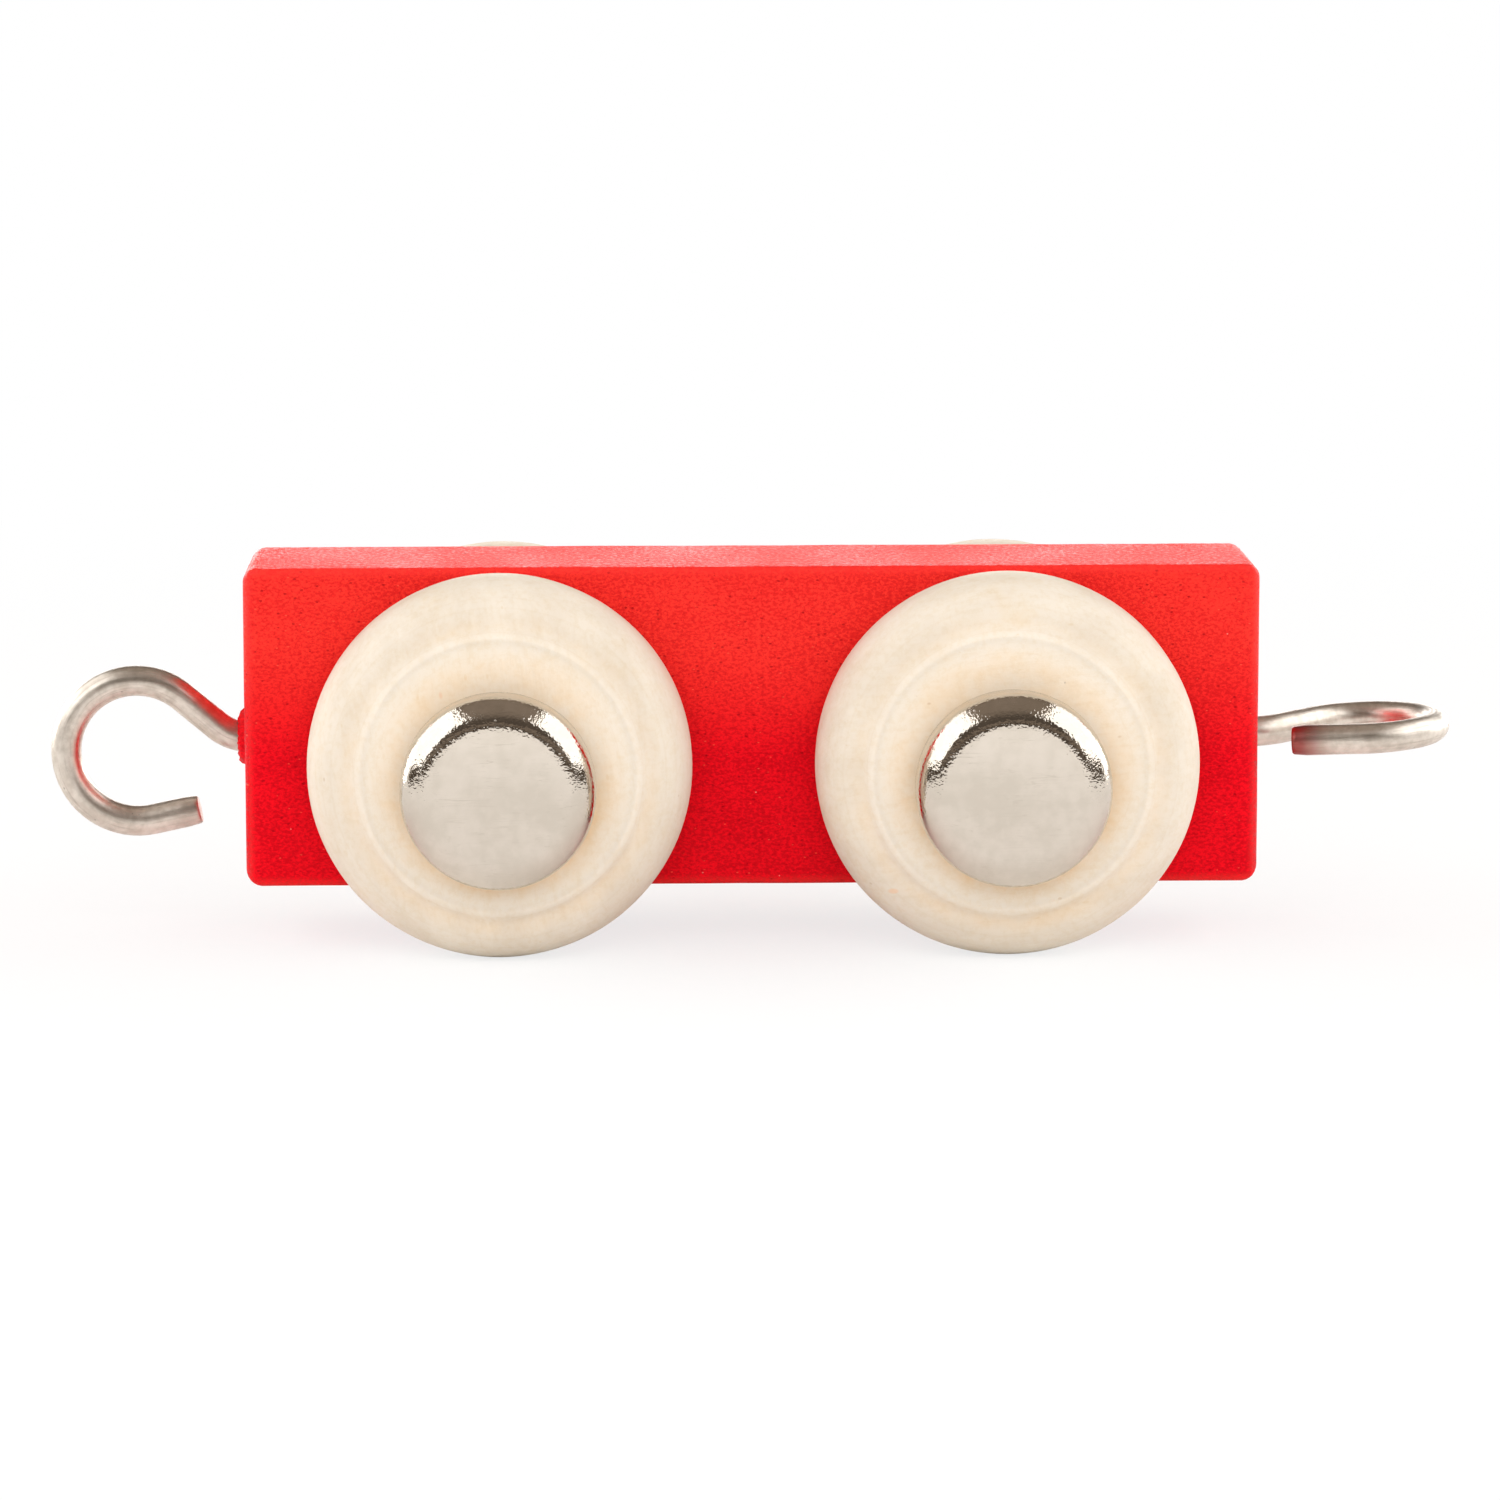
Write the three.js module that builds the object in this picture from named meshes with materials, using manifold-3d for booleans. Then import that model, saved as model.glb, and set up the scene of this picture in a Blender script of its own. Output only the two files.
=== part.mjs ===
// Wooden toy train wagon: a painted block on two loose steel axles, four turned wheels held on by
// push-on hub caps, an upright screw hook at the front and a level screw eye at the rear.
// Millimetres. +X runs from the hook end (front) to the eye end (rear) and +Z is up. The origin is
// on the floor under the middle of the block. Facing the front, the left side is -Y.
import * as THREE from "three";
import { mergeVertices } from "three/addons/utils/BufferGeometryUtils.js";
import Module from "manifold-3d";

const wasm = await Module();
wasm.setup();

// ---------- driving dimensions ----------

// Block, sawn from 12 mm board
const blockLength = 66.5;
const blockWidth = 12;
const blockHeight = 21;
const endCornerRadius = 1.3; // upright corners, seen from above
const sideCornerRadius = 1.0; // corners of the long side, seen from the side
const longEdgeRadius = 0.5; // eased edges along the length
const axleBoreHeight = 7.8; // axle bore above the underside
const couplingHeight = 9.05; // screw hook and screw eye above the underside

// Running gear
const wheelbase = 33;
const axleDiameter = 4;
const axleBoreClearance = 0.3; // radial, axle to block
const axleChamfer = 0.3;
const wheelDiameter = 25;
const wheelThickness = 6.3; // back face to the crest of the raised ring
const wheelHang = 0.6; // the loose axle rests this far below the wheel's centre
const wheelSeatGap = 0.3; // axle to the low side of the wheel's bore
const wheelSideGap = 0.6; // block to wheel
const wheelCapGap = 1.2; // wheel to hub cap
const treadStart = 1.2; // rounding of the wheel's back edge
const treadWidth = 1.2;
const shoulderShare = 0.6; // of the way from the tread to the groove before the shoulder turns in
const rimWidth = 3.4; // tread to the crest of the raised ring turned into the face
const crestHeight = 0.6; // ring above the groove outside it
const crestRound = 0.25; // easing of the ring's outer lip
const grooveWidth = 1.0; // ring's crest to the groove
const grooveSweep = 1.1; // how gently the shoulder runs into the groove
const dishWidth = 1.6; // ring's crest to the flat face inside it
const dishDepth = 0.25; // flat face below the crest

// Hub caps and the spring washers crimped inside them
const capDiameter = 12.6;
const capWallHeight = 1.6;
const capShoulder = 1.95; // rounded edge, in radius and in height
const capCrown = 0.1; // rise of the face's middle
const capSheet = 0.4; // sheet thickness
const capLip = 1.15; // rim turned in under the washer
const washerThickness = 0.3;
const washerGap = 0.15; // washer to shell
const tongueCount = 6;
const tongueLength = 1.5;
const tongueGap = 0.15; // washer's tongues to axle
const tongueRise = 0.7; // tongues bent up towards the cap's face
const slotShare = 0.3; // of each tongue's pitch
const axleEndGap = 0.25; // axle's end to the inside of the cap

// Wire couplings: the same open screw hook, upright at the front and level at the rear
const wireDiameter = 2.0;
const neckBend = 40; // degrees
const neckRadius = 3.2;
const neckRun = 3.03;
const loopRadius = 4.7; // to the wire's centreline
const tipTurn = 12; // degrees the loop turns past parallel with the shank
const hookTipRun = 3.2; // straight end of the loop
const eyeTipRun = 4.2;
const eyeRise = 3; // degrees the eye points up
const plainShank = 2.5; // unthreaded part inside the block
const shankClearance = 0.3; // radial
const screwWeb = 2.7; // wood between the screw's hole and the axle bore
const screwPoint = 1.6;
const pointShare = 0.15; // blunt end of the point, of the thread's radius
const threadPitch = 1.2;
const threadDepth = 0.22;
const threadShy = 0.04; // the thread's crest below the plain shank's surface
const holeEndGap = 0.5; // screw's point to the bottom of its hole

// Wood fibres and paint raised round the hook
const burrReach = 0.9; // beyond the hole
const burrHeight = 0.7;

// Facets
const wheelSegments = 32;
const capSegments = 24;
const axleSegments = 20;
const wireSides = 10;
const wireSteps = 40;
const threadSides = 6;
const cornerSteps = 4;
const turnedSteps = 3;

// ---------- sizes that follow ----------

const axleRadius = axleDiameter / 2;
const wheelRadius = wheelDiameter / 2;
const crestRadius = wheelRadius - rimWidth;
const capRadius = capDiameter / 2;
const wireRadius = wireDiameter / 2;
const wheelBoreRadius = axleRadius + wheelHang + wheelSeatGap;
const axleHeight = wheelRadius - wheelHang;
const undersideHeight = axleHeight - axleBoreHeight;
const blockAxleRadius = axleRadius + axleBoreClearance;
const wheelBack = blockWidth / 2 + wheelSideGap;
const capBack = wheelBack + wheelThickness + wheelCapGap;
const capHeight = capWallHeight + capShoulder;
const axleLength = 2 * (capBack + capHeight - capSheet - axleEndGap);
const holeRadius = wireRadius + shankClearance;
const holeDepth = blockLength / 2 - wheelbase / 2 - blockAxleRadius - screwWeb;
const shankLength = holeDepth - holeEndGap;

const degrees = THREE.MathUtils.degToRad;

// ---------- materials ----------

const redPaint = new THREE.MeshStandardMaterial({ color: 0xe8211f, roughness: 0.45, metalness: 0 });
const paleWood = new THREE.MeshStandardMaterial({ color: 0xe9dcc2, roughness: 0.7, metalness: 0 });
const nickel = new THREE.MeshStandardMaterial({ color: 0xd6d1c6, roughness: 0.25, metalness: 1 });
const wireSteel = new THREE.MeshStandardMaterial({ color: 0xbdb6aa, roughness: 0.3, metalness: 1 });
const axleSteel = new THREE.MeshStandardMaterial({ color: 0x9c9a96, roughness: 0.35, metalness: 1 });
const springSteel = new THREE.MeshStandardMaterial({ color: 0x6f6f72, roughness: 0.4, metalness: 1 });

// ---------- solids ----------

// A closed geometry as a solid, with its shared corners merged.
function solidOf(geometry) {
  const plain = geometry.clone();
  plain.deleteAttribute("normal");
  plain.deleteAttribute("uv");
  const merged = mergeVertices(plain, 1e-4);
  return new wasm.Manifold(
    new wasm.Mesh({
      numProp: 3,
      vertProperties: merged.attributes.position.array,
      triVerts: new Uint32Array(merged.index.array),
    }),
  );
}

function geometryOf(solid) {
  const mesh = solid.getMesh();
  const geometry = new THREE.BufferGeometry();
  geometry.setAttribute("position", new THREE.BufferAttribute(mesh.vertProperties, 3));
  geometry.setIndex(new THREE.BufferAttribute(mesh.triVerts, 1));
  return geometry;
}

// A cylinder whose axis is X or Y, centred on a point.
function rod(radius, length, axis, centre, segments) {
  const geometry = new THREE.CylinderGeometry(radius, radius, length, segments);
  if (axis === "x") geometry.rotateZ(Math.PI / 2);
  geometry.translate(centre.x, centre.y, centre.z);
  return solidOf(geometry);
}

function roundedRectangle(width, height, radius) {
  const [x, y] = [width / 2, height / 2];
  const shape = new THREE.Shape();
  shape.moveTo(-x + radius, -y);
  shape.absarc(x - radius, -y + radius, radius, -Math.PI / 2, 0);
  shape.absarc(x - radius, y - radius, radius, 0, Math.PI / 2);
  shape.absarc(-x + radius, y - radius, radius, Math.PI / 2, Math.PI);
  shape.absarc(-x + radius, -y + radius, radius, Math.PI, 1.5 * Math.PI);
  return shape;
}

// ---------- block ----------

// The side outline with eased long edges, cut to the plan outline with its rounder end corners.
function roundedBlock() {
  const ease = longEdgeRadius;
  const side = roundedRectangle(blockLength - 2 * ease, blockHeight - 2 * ease, sideCornerRadius - ease);
  const across = new THREE.ExtrudeGeometry(side, {
    depth: blockWidth - 2 * ease,
    bevelEnabled: true,
    bevelThickness: ease,
    bevelSize: ease,
    bevelSegments: 3,
    curveSegments: cornerSteps,
  });
  across.translate(0, 0, ease - blockWidth / 2);
  across.rotateX(Math.PI / 2);

  const margin = 2;
  const plan = roundedRectangle(blockLength, blockWidth, endCornerRadius);
  const upright = new THREE.ExtrudeGeometry(plan, {
    depth: blockHeight + 2 * margin,
    bevelEnabled: false,
    curveSegments: cornerSteps,
  });
  upright.translate(0, 0, -blockHeight / 2 - margin);
  return solidOf(across).intersect(solidOf(upright));
}

// The ragged collar of fibres round the hook's hole, as a plain ring standing on the end face.
function burrCollar() {
  const seat = 0.3; // how far it reaches into the block's face
  const ring = new THREE.LatheGeometry(
    [
      new THREE.Vector2(holeRadius, -seat),
      new THREE.Vector2(holeRadius + burrReach, -seat),
      new THREE.Vector2(holeRadius + burrReach, 0),
      new THREE.Vector2(holeRadius + burrReach / 2, burrHeight),
      new THREE.Vector2(holeRadius + burrReach / 6, burrHeight),
      new THREE.Vector2(holeRadius, -seat),
    ],
    axleSegments,
  );
  ring.rotateZ(Math.PI / 2); // its height now points to -X
  ring.translate(-blockLength / 2, 0, couplingHeight - blockHeight / 2);
  return solidOf(ring);
}

function chassisBlock() {
  const middle = -blockHeight / 2;
  let block = roundedBlock().add(burrCollar());
  for (const end of [-1, 1]) {
    const margin = 1;
    const axleAt = new THREE.Vector3((end * wheelbase) / 2, 0, middle + axleBoreHeight);
    block = block.subtract(rod(blockAxleRadius, blockWidth + 2 * margin, "y", axleAt, axleSegments));
    const screwAt = new THREE.Vector3(
      end * (blockLength / 2 - holeDepth / 2 + margin / 2),
      0,
      middle + couplingHeight,
    );
    block = block.subtract(rod(holeRadius, holeDepth + margin, "x", screwAt, axleSegments));
  }
  const mesh = new THREE.Mesh(geometryOf(block), redPaint);
  mesh.name = "chassis_block";
  mesh.position.z = undersideHeight + blockHeight / 2;
  return mesh;
}

// ---------- wheelsets ----------

// Wheel section: radius across, height outwards from the back face.
function wheelGeometry() {
  const tread = treadStart + treadWidth;
  const groove = wheelThickness - crestHeight;
  const grooveRadius = crestRadius + grooveWidth;
  const face = wheelThickness - dishDepth;
  const section = new THREE.Path();
  section.moveTo(wheelBoreRadius, 0);
  section.lineTo(wheelRadius - treadStart, 0);
  section.absarc(wheelRadius - treadStart, treadStart, treadStart, -Math.PI / 2, 0);
  section.lineTo(wheelRadius, tread);
  section.bezierCurveTo(
    wheelRadius,
    tread + shoulderShare * (groove - tread),
    grooveRadius + grooveSweep,
    groove,
    grooveRadius,
    groove,
  );
  section.quadraticCurveTo(
    crestRadius + 2 * crestRound,
    groove,
    crestRadius + crestRound,
    wheelThickness - crestRound,
  );
  section.lineTo(crestRadius, wheelThickness);
  section.lineTo(crestRadius - crestRound, wheelThickness);
  section.quadraticCurveTo(crestRadius - dishWidth / 2, face, crestRadius - dishWidth, face);
  section.lineTo(wheelBoreRadius, face);
  section.lineTo(wheelBoreRadius, 0);
  return new THREE.LatheGeometry(section.getPoints(turnedSteps), wheelSegments);
}

// Hub cap shell, open at the back, its rim turned in under the spring washer.
function capGeometry() {
  const inner = capRadius - capSheet;
  const rimEase = capSheet / 2;
  const flat = capRadius - capShoulder;
  const shell = new THREE.Path();
  shell.moveTo(capRadius - capLip, 0);
  shell.lineTo(capRadius - rimEase, 0);
  shell.lineTo(capRadius, rimEase);
  shell.lineTo(capRadius, capWallHeight);
  shell.absarc(flat, capWallHeight, capShoulder, 0, Math.PI / 2);
  shell.lineTo(0, capHeight + capCrown);
  shell.lineTo(0, capHeight + capCrown - capSheet);
  shell.lineTo(flat, capHeight - capSheet);
  shell.absarc(flat, capWallHeight, capShoulder - capSheet, Math.PI / 2, 0, true);
  shell.lineTo(inner, capSheet);
  shell.lineTo(capRadius - capLip, capSheet);
  shell.lineTo(capRadius - capLip, 0);
  return new THREE.LatheGeometry(shell.getPoints(turnedSteps), capSegments);
}

function polar(radius, angle) {
  return new THREE.Vector2(radius * Math.cos(angle), radius * Math.sin(angle));
}

// Spring washer: a disc whose slotted tongues rise towards the middle and grip the axle.
function washerGeometry() {
  const outer = capRadius - capSheet - washerGap;
  const tip = axleRadius + tongueGap;
  const root = tip + tongueLength;
  const disc = new THREE.Shape();
  disc.absarc(0, 0, outer, 0, 2 * Math.PI);
  const star = [];
  const pitch = (2 * Math.PI) / tongueCount;
  for (let i = 0; i < tongueCount; i++) {
    const start = i * pitch;
    const slotEnd = start + slotShare * pitch;
    const tongueMiddle = (slotEnd + start + pitch) / 2;
    star.push(polar(root, start), polar(root, slotEnd));
    star.push(polar(tip, slotEnd), polar(tip, tongueMiddle), polar(tip, start + pitch));
  }
  disc.holes.push(new THREE.Path(star));
  const washer = new THREE.ExtrudeGeometry(disc, {
    depth: washerThickness,
    bevelEnabled: false,
    curveSegments: capSegments / 2,
  });
  const position = washer.attributes.position;
  for (let i = 0; i < position.count; i++) {
    const radius = Math.hypot(position.getX(i), position.getY(i));
    const rise = (tongueRise * (outer - radius)) / (outer - tip);
    position.setZ(i, position.getZ(i) + rise);
  }
  washer.rotateX(-Math.PI / 2); // its axis becomes +Y
  return washer;
}

function axleGeometry() {
  const half = axleLength / 2;
  return new THREE.LatheGeometry(
    [
      new THREE.Vector2(0, -half),
      new THREE.Vector2(axleRadius - axleChamfer, -half),
      new THREE.Vector2(axleRadius, -half + axleChamfer),
      new THREE.Vector2(axleRadius, half - axleChamfer),
      new THREE.Vector2(axleRadius - axleChamfer, half),
      new THREE.Vector2(0, half),
    ],
    axleSegments,
  );
}

// One axle with what it carries. Each side's parts are made for +Y and turned round for -Y.
function wheelset(end) {
  const set = new THREE.Group();
  const axle = new THREE.Mesh(axleGeometry(), axleSteel);
  axle.name = "axle_" + end;
  set.add(axle);
  for (const [side, turn] of [["right", 0], ["left", Math.PI]]) {
    const pieces = new THREE.Group();
    const label = end + "_" + side;

    const wheel = new THREE.Mesh(wheelGeometry(), paleWood);
    wheel.name = "wheel_" + label;
    wheel.position.set(0, wheelBack, wheelHang);

    const cap = new THREE.Mesh(capGeometry(), nickel);
    cap.name = "hub_cap_" + label;
    cap.position.y = capBack;

    const washer = new THREE.Mesh(washerGeometry(), springSteel);
    washer.name = "lock_washer_" + label;
    washer.position.y = capBack + capSheet + washerGap;

    pieces.add(wheel, cap, washer);
    pieces.rotation.z = turn;
    set.add(pieces);
  }
  set.position.set(((end === "front" ? -1 : 1) * wheelbase) / 2, 0, axleHeight);
  return set;
}

// ---------- wire couplings ----------

// Centreline of a bent wire lying in a plane: straight runs and constant bends, one after another.
// It starts inside the block and leaves its face at zero along x; y is sideways in the bend's plane.
class BentWire extends THREE.Curve {
  constructor(start, moves, rise) {
    super();
    this.start = start;
    this.moves = moves;
    this.rise = rise;
    this.total = moves.reduce((sum, move) => sum + BentWire.lengthOf(move), 0);
  }

  static lengthOf(move) {
    return move.run ?? Math.abs(degrees(move.bend)) * move.radius;
  }

  getPoint(t, target = new THREE.Vector3()) {
    let [x, y, heading] = [this.start, 0, 0];
    let left = t * this.total;
    for (const move of this.moves) {
      const part = Math.min(left, BentWire.lengthOf(move));
      if (move.run !== undefined) {
        x += part * Math.cos(heading);
        y += part * Math.sin(heading);
      } else {
        const turned = (Math.sign(move.bend) * part) / move.radius;
        const r = Math.sign(move.bend) * move.radius;
        x += r * (Math.sin(heading + turned) - Math.sin(heading));
        y -= r * (Math.cos(heading + turned) - Math.cos(heading));
        heading += turned;
      }
      left -= part;
      if (left <= 0) break;
    }
    return target.set(x, y, Math.max(x, 0) * Math.tan(this.rise));
  }
}

function bentWireSolid(path) {
  const section = new THREE.Shape();
  section.absarc(0, 0, wireRadius, 0, 2 * Math.PI);
  return solidOf(
    new THREE.ExtrudeGeometry(section, {
      steps: wireSteps,
      extrudePath: path,
      curveSegments: wireSides / 2,
    }),
  );
}

// Threaded shank along x: a round section with one lobe, twisted a full turn each pitch, and a point.
function threadSolid() {
  const core = wireRadius - threadDepth;
  const lobe = threadDepth - threadShy;
  const overlap = 0.2; // into the plain shank
  const straight = shankLength - screwPoint - plainShank + overlap;
  const outline = [];
  for (let i = 0; i < threadSides; i++) {
    outline.push(polar(core + (i === 0 ? lobe : 0), (i / threadSides) * 2 * Math.PI));
  }
  const turns = (straight + screwPoint) / threadPitch;
  const thread = new THREE.ExtrudeGeometry(new THREE.Shape(outline), {
    depth: straight + screwPoint,
    steps: Math.round(turns * threadSides),
    bevelEnabled: false,
  });
  const position = thread.attributes.position;
  for (let i = 0; i < position.count; i++) {
    const along = position.getZ(i);
    const angle = (2 * Math.PI * along) / threadPitch;
    const taper = Math.min(1, (straight + screwPoint - along) / screwPoint);
    const scale = pointShare + (1 - pointShare) * taper;
    const [x, y] = [position.getX(i) * scale, position.getY(i) * scale];
    position.setXY(
      i,
      x * Math.cos(angle) - y * Math.sin(angle),
      x * Math.sin(angle) + y * Math.cos(angle),
    );
  }
  thread.rotateY(-Math.PI / 2); // from +Z to -x
  thread.translate(overlap - plainShank, 0, 0);
  return solidOf(thread);
}

// Open screw hook. Its shank points to -x, the block's face is at x = 0 and the neck goes to +y.
function couplingGeometry(tipRun, rise) {
  const wire = new BentWire(
    -plainShank,
    [
      { run: plainShank },
      { bend: neckBend, radius: neckRadius },
      { run: neckRun },
      { bend: -(neckBend + 180 + tipTurn), radius: loopRadius },
      { run: tipRun },
    ],
    rise,
  );
  return geometryOf(bentWireSolid(wire).add(threadSolid()));
}

// The hook stands upright: its neck rises and its tip comes back below.
function couplingHook() {
  const geometry = couplingGeometry(hookTipRun, 0);
  geometry.rotateX(Math.PI / 2);
  const mesh = new THREE.Mesh(geometry, wireSteel);
  mesh.name = "coupling_hook";
  mesh.rotation.z = Math.PI;
  mesh.position.set(-blockLength / 2, 0, undersideHeight + couplingHeight);
  return mesh;
}

// The eye lies level: its neck goes to the right side and its tip comes back on the left.
function couplingEye() {
  const mesh = new THREE.Mesh(couplingGeometry(eyeTipRun, degrees(eyeRise)), wireSteel);
  mesh.name = "coupling_eye";
  mesh.position.set(blockLength / 2, 0, undersideHeight + couplingHeight);
  return mesh;
}

// ---------- assembly ----------

const wagon = new THREE.Group();
wagon.add(chassisBlock(), wheelset("front"), wheelset("rear"), couplingHook(), couplingEye());

export default wagon;
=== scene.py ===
# %% [markdown]
# # A wooden toy wagon on turned wheels
# The wagon is a short red block of wood. Two steel rods run through it, each rod carries
# two turned wooden wheels, and a pressed metal cap on each rod end keeps the wheel on.
# A wire screw hook sits in one end of the block and a wire screw eye in the other.
# The plain frame of the wagon is loaded first. Every piece made here takes its place
# from that frame, so nothing has to be fitted by eye.

# %% Load the frame
import math

import bpy
from mathutils import Matrix, Vector


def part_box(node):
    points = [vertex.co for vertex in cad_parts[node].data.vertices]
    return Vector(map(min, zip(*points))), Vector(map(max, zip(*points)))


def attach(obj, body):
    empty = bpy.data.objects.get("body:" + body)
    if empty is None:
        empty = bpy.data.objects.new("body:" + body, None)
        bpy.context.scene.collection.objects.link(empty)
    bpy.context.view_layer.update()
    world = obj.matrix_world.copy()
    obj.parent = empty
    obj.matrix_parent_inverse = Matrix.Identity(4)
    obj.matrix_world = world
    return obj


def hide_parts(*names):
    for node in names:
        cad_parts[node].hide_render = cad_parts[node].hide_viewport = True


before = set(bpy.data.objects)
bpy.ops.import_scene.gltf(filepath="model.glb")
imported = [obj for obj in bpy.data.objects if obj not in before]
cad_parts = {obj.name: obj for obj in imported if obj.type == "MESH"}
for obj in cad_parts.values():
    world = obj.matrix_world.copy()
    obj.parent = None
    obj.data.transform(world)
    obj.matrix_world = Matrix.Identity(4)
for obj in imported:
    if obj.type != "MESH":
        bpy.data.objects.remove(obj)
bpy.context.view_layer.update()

MM = 0.001

# %% [markdown]
# ## Picking
# An operator works on everything that is selected. A loaded frame arrives selected, and
# so does each new primitive, so the habit is to deselect first and then pick by place.
# Points are picked in object mode by testing each one, and edit mode then finds them
# selected.

# %% Pick nothing, pick by place
def pick_nothing():
    if bpy.context.mode != "OBJECT":
        bpy.ops.object.mode_set(mode="OBJECT")
    bpy.ops.object.select_all(action="DESELECT")


def work_on(piece):
    pick_nothing()
    piece.select_set(True)
    bpy.context.view_layer.objects.active = piece


def open_edit(piece, action="SELECT"):
    """Opens a piece in edit mode, with all of its points selected or none."""
    work_on(piece)
    bpy.ops.object.mode_set(mode="EDIT")
    bpy.ops.mesh.select_mode(type="VERT")
    bpy.ops.mesh.select_all(action=action)


def close_edit():
    bpy.ops.object.mode_set(mode="OBJECT")


def pick_points(piece, wanted):
    """Selects the points whose place passes the test, and the faces between them."""
    open_edit(piece, "DESELECT")
    close_edit()
    for point in piece.data.vertices:
        point.select = bool(wanted(point.co))
    bpy.ops.object.mode_set(mode="EDIT")


def settle(piece):
    """Puts the object's place and size into its mesh, so that it sits at the origin."""
    work_on(piece)
    bpy.ops.object.transform_apply(location=True, rotation=True, scale=True)


def pull_out(step):
    """Extrudes what is selected by a step."""
    bpy.ops.mesh.extrude_region_move(TRANSFORM_OT_translate={"value": step})


print("picking helpers ready")

# %% [markdown]
# ## Drawing a section and spinning it
# Wheels and caps are round, so each is drawn once as a section, half of the shape cut
# through its middle, and spun about its axle, as a turner works from a template. The
# section could be a bezier curve with the Screw modifier. Here it is a plane merged to
# one point and extruded from place to place, because every point then sits where the
# template says. Rounded corners are short runs of points along an arc or a bend.

# %% Points for arcs and bends
def along_arc(middle, radius, start, end, steps):
    turns = [math.radians(start + (end - start) * i / steps) for i in range(steps + 1)]
    return [(middle[0] + radius * math.cos(turn), middle[1] + radius * math.sin(turn))
            for turn in turns]


def along_bend(corners, steps):
    """Points on the smooth bend that its corner points pull on, ends included."""
    bend = []
    for i in range(steps + 1):
        share, row = i / steps, [Vector(c) for c in corners]
        while len(row) > 1:
            row = [a.lerp(b, share) for a, b in zip(row, row[1:])]
        bend.append(tuple(row[0]))
    return bend


def without_doubles(points, gap=0.004):
    """Leaves out a point that lies on the one before it, in millimetres."""
    kept = [points[0]]
    for point in points[1:]:
        if (Vector(point) - Vector(kept[-1])).length > gap:
            kept.append(point)
    return kept


print("arcs and bends ready")


# %% Draw a section and spin it
def draw_section(name, places):
    """A line of edges through the places, in metres."""
    pick_nothing()
    bpy.ops.mesh.primitive_plane_add(size=MM)
    piece = bpy.context.object
    piece.name = piece.data.name = name
    bpy.ops.object.mode_set(mode="EDIT")
    bpy.ops.mesh.merge(type="CENTER")
    bpy.ops.transform.translate(value=places[0])
    for here, there in zip(places, places[1:]):
        pull_out(there - here)
    return piece


def spin_section(piece, centre, axis, steps):
    """Spins the whole section once round, closes the seam and turns the faces outwards."""
    bpy.ops.mesh.select_all(action="SELECT")
    bpy.ops.mesh.spin(steps=steps, angle=math.tau, center=centre, axis=axis)
    bpy.ops.mesh.select_all(action="SELECT")
    bpy.ops.mesh.remove_doubles(threshold=0.004 * MM)
    bpy.ops.mesh.normals_make_consistent(inside=False)
    close_edit()
    print(piece.name, "spun:", len(piece.data.polygons), "faces")


# %% [markdown]
# ## Notes on the points
# Turned wood has rings about its axle, and drawn wire has streaks along it. A pattern
# can only follow the shape if each point knows where it sits on it. A UV map could say
# so, but it has a seam. A named vector on each point has none, and a material reads it
# with an Attribute node.

# %% Store a named vector on each point
def note_places(piece, label, place_of):
    notes = piece.data.attributes.new(label, "FLOAT_VECTOR", "POINT")
    for note, point in zip(notes.data, piece.data.vertices):
        note.vector = place_of(point.co)
    print(piece.name, "carries the note", label)


# %% [markdown]
# ## Unevenness
# No hand-sanded or pressed face is truly flat, and a bent reflection tells the eye so.
# A Displace modifier with a soft cloud pattern moves the points by a few hundredths of
# a millimetre. It is applied at once, so that the shape itself is uneven.

# %% Make a surface slightly uneven
def make_uneven(piece, amount, spread):
    clouds = bpy.data.textures.new("soft clouds", type="CLOUDS")
    clouds.noise_scale = spread
    clouds.noise_depth = 1
    work_on(piece)
    wobble = piece.modifiers.new("wobble", "DISPLACE")
    wobble.texture = clouds
    wobble.texture_coords = "LOCAL"
    wobble.strength = amount
    wobble.mid_level = 0.5
    bpy.ops.object.modifier_apply(modifier=wobble.name)
    print(piece.name, "uneven by", round(amount / MM, 3), "mm")


# %% Finish a piece
def box_and_middle(node):
    """The lowest and the highest corner of a piece of the frame, and its middle."""
    low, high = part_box(node)
    return low, high, (low + high) / 2


def finish_piece(piece, name, body, node, finish):
    """Names the piece, gives it its material and ties it to the frame."""
    piece.name = piece.data.name = name
    piece.data.materials.clear()
    piece.data.materials.append(finish)
    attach(piece, body)
    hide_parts(node)
    print(name, "stands for", node, "with", len(piece.data.polygons), "faces")


# %% [markdown]
# ## Node helpers
# A material is a small machine of nodes. Placing and wiring them by hand is quick in
# the editor and slow to read in a script, so one helper places a node and plugs in its
# values and wires, and a few more name the steps that come up again and again.

# %% Place a node and plug it in
def plug_in(tree, node, wires):
    """A wire goes into its socket, and a plain value is written on it."""
    for plug, value in wires.items():
        if isinstance(value, bpy.types.NodeSocket):
            tree.links.new(value, node.inputs[plug])
        else:
            node.inputs[plug].default_value = value
    return node


def put(tree, kind, wires=None, **settings):
    node = tree.nodes.new("ShaderNode" + kind)
    for label, value in settings.items():
        setattr(node, label, value)
    return plug_in(tree, node, wires or {})


def sum_up(tree, operation, *values):
    return put(tree, "Math", dict(enumerate(values)), operation=operation).outputs[0]


def times(tree, first, second):
    return sum_up(tree, "MULTIPLY", first, second)


def fade(tree, value, start, end, low=0.0, high=1.0):
    """Runs smoothly from low to high while the value runs from start to end."""
    wires = {"Value": value, "From Min": start, "From Max": end, "To Min": low, "To Max": high}
    return put(tree, "MapRange", wires, interpolation_type="SMOOTHSTEP").outputs[0]


print("nodes can be placed")

# %% Colours and layers
def opaque(colour):
    """A colour given as red, green and blue gets full cover. A wire passes as it is."""
    return (*colour, 1.0) if isinstance(colour, tuple) else colour


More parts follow.
